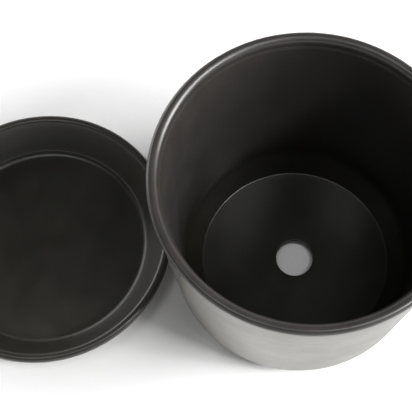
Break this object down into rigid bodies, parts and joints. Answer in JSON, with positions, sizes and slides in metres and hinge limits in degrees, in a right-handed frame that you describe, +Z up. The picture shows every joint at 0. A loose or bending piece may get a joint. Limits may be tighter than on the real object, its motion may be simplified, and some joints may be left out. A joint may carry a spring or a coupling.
{
  "type": "self watering planter",
  "caption": "Tapered round pot with a brushed steel shell, dark lift-out liner, rolled rim and central drain hole, beside a matching deep water saucer with its own lift-out tray.",
  "frame": {"origin": "on the floor, in the middle of the pair's footprint, with the pot's axis at x = +0.0883 and the saucer's at x = -0.0911", "axes": "+Z up, along both vessels' axes; +X from the saucer towards the pot"},
  "size_m": [0.3666, 0.19, 0.1609],
  "materials": {
    "steel": "satin, brushed round the vessel",
    "dark_liner": "satin, faintly mottled, brown-black",
    "foot_rubber": "matt"
  },
  "bodies": {
    "pot": {"pot_shell": "steel", "pot_foot_1": "foot_rubber", "pot_foot_2": "foot_rubber", "pot_foot_3": "foot_rubber"},
    "liner": {"pot_liner": "dark_liner"},
    "saucer": {"saucer_shell": "steel", "saucer_pad_1": "foot_rubber", "saucer_pad_2": "foot_rubber", "saucer_pad_3": "foot_rubber"},
    "tray": {"saucer_tray": "dark_liner"}
  },
  "joints": [
    {"name": "liner_lift", "type": "slide", "parent": "pot", "child": "liner", "axis": [0, 0, 1], "range_m": [0, 0.165]},
    {"name": "saucer_slide", "type": "slide", "parent": "pot", "child": "saucer", "axis": [-1, 0, 0], "range_m": [0, 0.15]},
    {"name": "tray_lift", "type": "slide", "parent": "saucer", "child": "tray", "axis": [0, 0, 1], "range_m": [0, 0.0218]}
  ]
}
